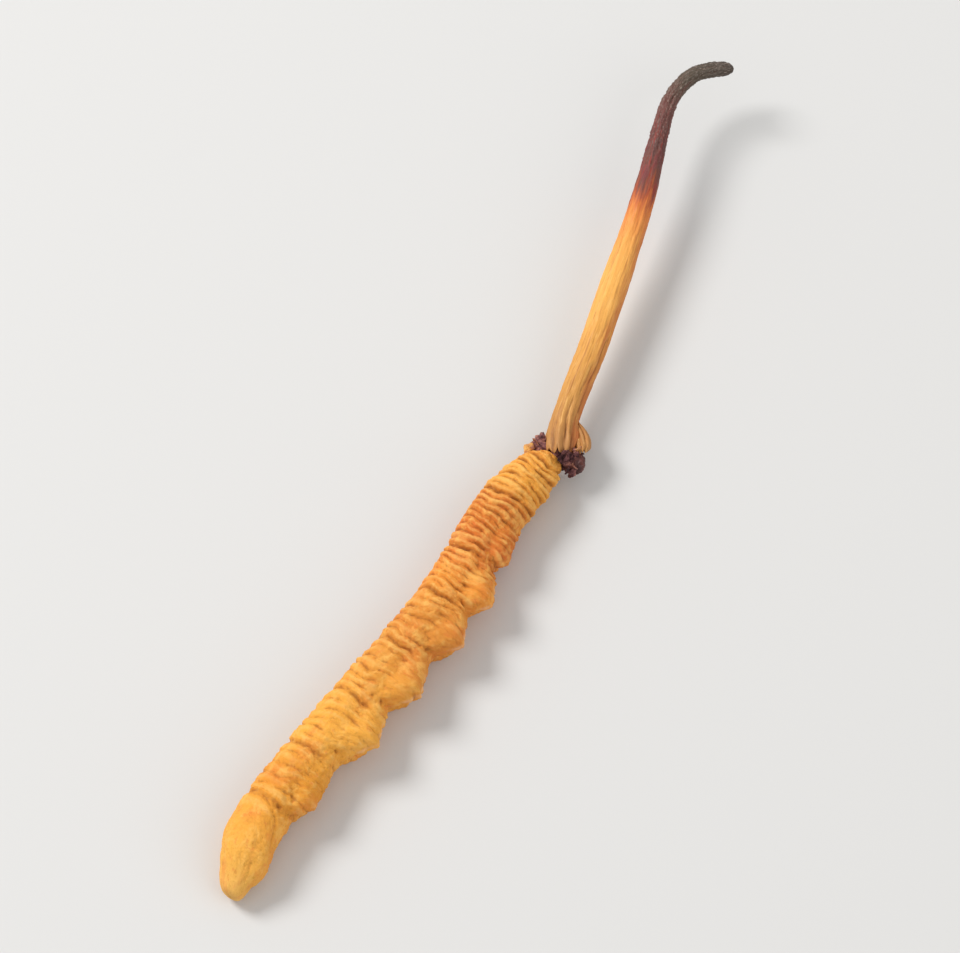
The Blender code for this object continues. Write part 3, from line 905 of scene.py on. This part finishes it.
leaf = {
    # it bends away over the head: its middle line, half width and flutes
    "line": [
        (0, (29.5, -0.2, 2.7)), (0.3, (28.6, -1.35, 2.9)), (0.65, (27.5, -2.75, 3.25)),
        (1, (26.3, -3.6, 3.35)),
    ],
    "halfWidth": [(0, 0.1), (0.2, 0.22), (0.4, 0.52), (0.65, 0.68), (0.85, 0.6), (1, 0.3)],
    "flutes": 3, "fluteDepth": 0.11, "fluteStart": 0.2, "droop": 0.3, "crumple": 0.12, "thickness": 0.16,
    "tornDepth": 0.3, "tornShare": 0.2, "facesLong": 40, "facesWide": 18,
}


def leafShape(onward, aside):
    middle = smoothThrough(leaf["line"], onward)
    ahead = smoothThrough(leaf["line"], np.minimum(onward + 0.02, 1))
    ahead -= smoothThrough(leaf["line"], np.maximum(onward - 0.02, 0))
    ahead /= np.linalg.norm(ahead, axis=1)[:, None]
    level = np.cross([0, 0, 1], ahead)
    wide = level * (smoothThrough(leaf["halfWidth"], onward) * aside)[:, None]
    high = leaf["fluteDepth"] * np.cos(leaf["flutes"] * pi * aside) - leaf["droop"] * aside ** 2
    high = high * ease(onward / leaf["fluteStart"])
    high = high + leaf["crumple"] * layeredNoise(middle * 0.8 + wide * 2, 3, 141)
    end = ease((onward - 1 + leaf["tornShare"]) / leaf["tornShare"])
    torn = leaf["tornDepth"] * np.abs(np.sin(4 * aside + 1)) * end
    return middle + wide - ahead * torn[:, None] + np.outer(high, [0, 0, 1])


def makeLeaf(material):
    piece = newStrip(leaf["facesLong"], leaf["facesWide"], leafShape, leaf["thickness"])
    piece.name = piece.data.name = "skirt_leaf"
    places = readPoints(piece)
    start, end = np.array(leaf["line"][0][1]), np.array(leaf["line"][-1][1])
    ahead = (end - start) / np.linalg.norm(end - start)
    level = np.cross([0, 0, 1], ahead)
    onward, aside = (places - start) @ ahead, (places - start) @ level
    writeNote(piece, "grain", np.stack([onward, aside, places[:, 2]], axis=-1))
    # painted shade in bands along the leaf's flutes
    writeNote(piece, "hollow", 0.8 * np.cos(leaf["flutes"] * pi * (aside / 0.5 + 1)))
    writeNote(piece, "share", np.full(len(places), 0.02))
    writeNote(piece, "belly", np.zeros(len(places)))
    finishPiece(piece, "stalk_fibre", material)


# The head capsule

head = {
    "middle": (25.55, -3.17, 2.1), "radii": (1, 1.1, 1.15), "turn": -60, "rings": 64, "sides": 96,
    "groove": 0.14, "grooveWidth": 0.25, "shrivel": 0.16, "lumps": 0.1, "swell": 0.04,
}


def makeHead(material):
    # two lobes, parted by a groove, shrivelled and lumpy
    middle = np.array(head["middle"])
    piece = newSphere("head_capsule", head["rings"], head["sides"], 1, head["middle"])
    local = (readPoints(piece) - middle)[:, [2, 0, 1]]
    lobes = 1 - head["groove"] * bump(local[:, 2], head["grooveWidth"]) + head["swell"]
    lobes = lobes + head["shrivel"] * wrinklesAt(local * 1.6, 4, 111)
    lobes = lobes + head["lumps"] * layeredNoise(local * 1.5, 3, 112)
    local = local * np.array(head["radii"]) * lobes[:, None]
    turn = Matrix.Rotation(radians(head["turn"]), 3, "Z")
    writePoints(piece, local @ np.array(turn).T + middle)
    finishPiece(piece, "head_shell", material, "head")


# The dark matter where body, head and stalk meet

collar = {
    "rings": 90, "sides": 130,
    # lumps: their middle, their radii, and how pale they are, from -0.1 to 0.4
    "lumps": [
        ((25.15, -2.05, 2.4), (0.8, 1.5, 1.35), 0), ((24.95, -3.05, 2.1), (0.55, 0.6, 0.7), 0),
        ((24.1, 0.82, 3.05), (0.6, 0.5, 0.5), 0.36), ((24.6, 0.25, 2.95), (0.42, 0.62, 0.48), 0.06),
        ((25.05, -0.45, 2.9), (0.4, 0.5, 0.45), 0.08),
    ],
    "lumpSwell": 0.2, "lumpWrinkle": 0.14, "toneSpread": 0.08,
    # bunches of curled scales: how many, the place they grow from, how far they are scattered, the way they
    # point, their length and width, and how pale they are, from -0.1 to 0.4
    "scales": [
        (7, (24.85, 0.05, 3), 0.22, (0.3, 0.8, 0.4), (0.5, 1.1), (0.6, 1), (0, 0.2)),
        (5, (23.95, 0.8, 3.1), 0.14, (-0.1, 0.5, 0.7), (0.25, 0.45), (0.4, 0.6), (0.26, 0.4)),
        (4, (24.6, 0.6, 3.3), 0.12, (-0.1, 0.7, 0.7), (0.25, 0.45), (0.3, 0.45), (-0.02, 0.12)),
        (5, (25, -2.3, 3.4), 0.25, (-0.3, -0.4, 0.8), (0.5, 0.9), (0.5, 0.8), (-0.08, 0.1)),
        (6, (26, -2.9, 3), 0.2, (0.5, -0.5, 0.6), (0.4, 0.75), (0.5, 0.9), (-0.05, 0.2)),
        (8, (24.85, -3, 2.3), 0.3, (-0.5, -0.7, 0.1), (0.5, 0.9), (0.5, 0.9), (-0.05, 0.15)),
        (7, (25.3, -1.8, 1.5), 0.25, (0.3, 0.1, -0.8), (0.3, 0.55), (0.4, 0.7), (-0.05, 0.25)),
    ],
    "scaleCurl": (0.2, 1.3), "scaleAim": 0.4, "scaleTip": 0.25, "scaleCup": 0.2, "scaleCrumple": 0.07,
    "scaleThickness": 0.09, "facesLong": 12, "facesWide": 10,
}


def makeCollar(material):
    lumps = []
    for middle, radii, tone in collar["lumps"]:
        lump = newSphere("lump", collar["rings"], collar["sides"], 1, middle)
        local = readPoints(lump) - np.array(middle)
        places = local * np.array(radii) + np.array(middle)
        relief = collar["lumpSwell"] * layeredNoise(places * 1.7, 4, 121)
        relief = relief + collar["lumpWrinkle"] * wrinklesAt(places * 2, 3, 122)
        writePoints(lump, places + local * relief[:, None] * min(1, 1.4 * max(radii)))
        writeNote(lump, "tone", tone + collar["toneSpread"] * layeredNoise(places * 1.5, 2, 123))
        lumps.append(lump)
    finishPiece(joinPieces(lumps, "collar_matter"), "stalk_fibre", material)


def scaleShape(long, wide, curl, shift):
    # a tapering scale, curled along, cupped across and crumpled
    def shape(onward, aside):
        width = 0.5 * wide * (1 - (1 - collar["scaleTip"]) * onward ** 2.5)
        x, y = long * np.sin(curl * onward) / curl, width * aside
        z = long * (1 - np.cos(curl * onward)) / curl + collar["scaleCup"] * wide * aside ** 2
        points = np.stack([x, y, z], axis=-1)
        bent = [layeredNoise(points * 1.8 + shift + 9 * part, 3, 131) for part in range(3)]
        return points + collar["scaleCrumple"] * np.stack(bent, axis=-1)
    return shape


def makeScales(material):
    scales = []
    for count, middle, scatter, way, lengths, widths, tones in collar["scales"]:
        for _ in range(count):
            long, wide, curl = rng.uniform(*lengths), rng.uniform(*widths), rng.uniform(*collar["scaleCurl"])
            shape = scaleShape(long, wide, curl, rng.uniform(-50, 50, 3))
            place = Vector(middle) + Vector(rng.normal(size=3)) * scatter
            aim = Vector(way) + Vector(rng.normal(size=3)) * collar["scaleAim"]
            roll = Matrix.Rotation(rng.uniform(-pi, pi), 4, "X")
            pose = Matrix.Translation(place * mm) @ aim.to_track_quat("X", "Z").to_matrix().to_4x4() @ roll
            scale = newStrip(collar["facesLong"], collar["facesWide"], shape, collar["scaleThickness"], pose)
            writeNote(scale, "tone", np.full(len(scale.data.vertices), rng.uniform(*tones)))
            scales.append(scale)
    finishPiece(joinPieces(scales, "collar_scales"), "stalk_fibre", material)


# Camera, floor and light

shot = {
    "azimuth": -57, "elevation": 65, "lens": 500, "sensor": 36, "fill": 0.88,
    "width": 960, "height": 953, "near": 0.1, "far": 20,
}
studio = {
    # the way to each light, to the right, away and up as the camera sees it, its size and its power
    "lights": {"key": ((-0.75, 0.42, 0.85), 380, 6.2), "fill": ((0.9, -0.5, 0.8), 800, 1.6)},
    "lightDistance": 900, "sky": 0.6, "floor": (213, 212, 210), "floorSize": 3000,
}


def viewDirections():
    azimuth, elevation = radians(shot["azimuth"]), radians(shot["elevation"])
    back = Vector((
        sin(azimuth) * cos(elevation), -cos(azimuth) * cos(elevation), sin(elevation)
    ))
    right = Vector((cos(azimuth), sin(azimuth), 0))
    return right, back.cross(right), back


def makeCamera():
    # far enough back that the whole object fills the height of the picture
    right, up, back = viewDirections()
    spots = [corner.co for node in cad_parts.values() for corner in node.data.vertices]
    across, high, near = [[spot.dot(way) for spot in spots] for way in (right, up, back)]
    middle = right * (min(across) + max(across)) / 2 + up * (min(high) + max(high)) / 2
    middle = middle + back * sum(near) / len(near)
    seen = shot["sensor"] * shot["height"] / shot["width"]
    distance = (max(high) - min(high)) / shot["fill"] * shot["lens"] / seen
    data = bpy.data.cameras.new("camera")
    data.lens, data.sensor_width = shot["lens"], shot["sensor"]
    data.clip_start, data.clip_end = shot["near"], shot["far"]
    camera = bpy.data.objects.new("camera", data)
    bpy.context.scene.collection.objects.link(camera)
    camera.location = middle + back * distance
    camera.rotation_euler = back.to_track_quat("Z", "Y").to_euler()
    bpy.context.scene.camera = camera
    return middle


def addLight(name, target, way, size, power):
    right, _, _ = viewDirections()
    side, away, high = way
    up = Vector((0, 0, 1))
    place = (right * side + up.cross(right) * away + up * high).normalized() * studio["lightDistance"] * mm
    data = bpy.data.lights.new(name, "AREA")
    data.shape, data.size, data.energy = "DISK", size * mm, power
    lamp = bpy.data.objects.new(name, data)
    bpy.context.scene.collection.objects.link(lamp)
    lamp.location = target + place
    lamp.rotation_euler = place.to_track_quat("Z", "Y").to_euler()


def makeStage(target):
    deselectAll()
    bpy.ops.mesh.primitive_plane_add(size=studio["floorSize"] * mm, location=(0, 0, 0))
    floor = bpy.context.active_object
    floor.name = "floor"
    material, _, shader = newMaterial("pale_floor", 0.2)
    setInputs(shader, {"Base Color": fromScreen(*studio["floor"]), "Roughness": 0.9})
    floor.data.materials.append(material)
    world = bpy.data.worlds.new("studio")
    world.use_nodes = True
    setInputs(world.node_tree.nodes["Background"], {"Color": (1, 1, 1, 1), "Strength": studio["sky"]})
    bpy.context.scene.world = world
    bpy.context.scene.view_settings.view_transform = "Standard"
    for name, (way, size, power) in studio["lights"].items():
        addLight(name, target, way, size, power)


target = makeCamera()
print("camera set")
makeStage(target)
print("floor and lights set")
makeLarva(makeSkinMaterial())
fibreMaterial = makeStalkMaterial()
makeStalk(fibreMaterial)
makeLeaf(fibreMaterial)
makeHead(makeHeadMaterial())
collarMaterial = makeCollarMaterial()
makeCollar(collarMaterial)
makeScales(collarMaterial)
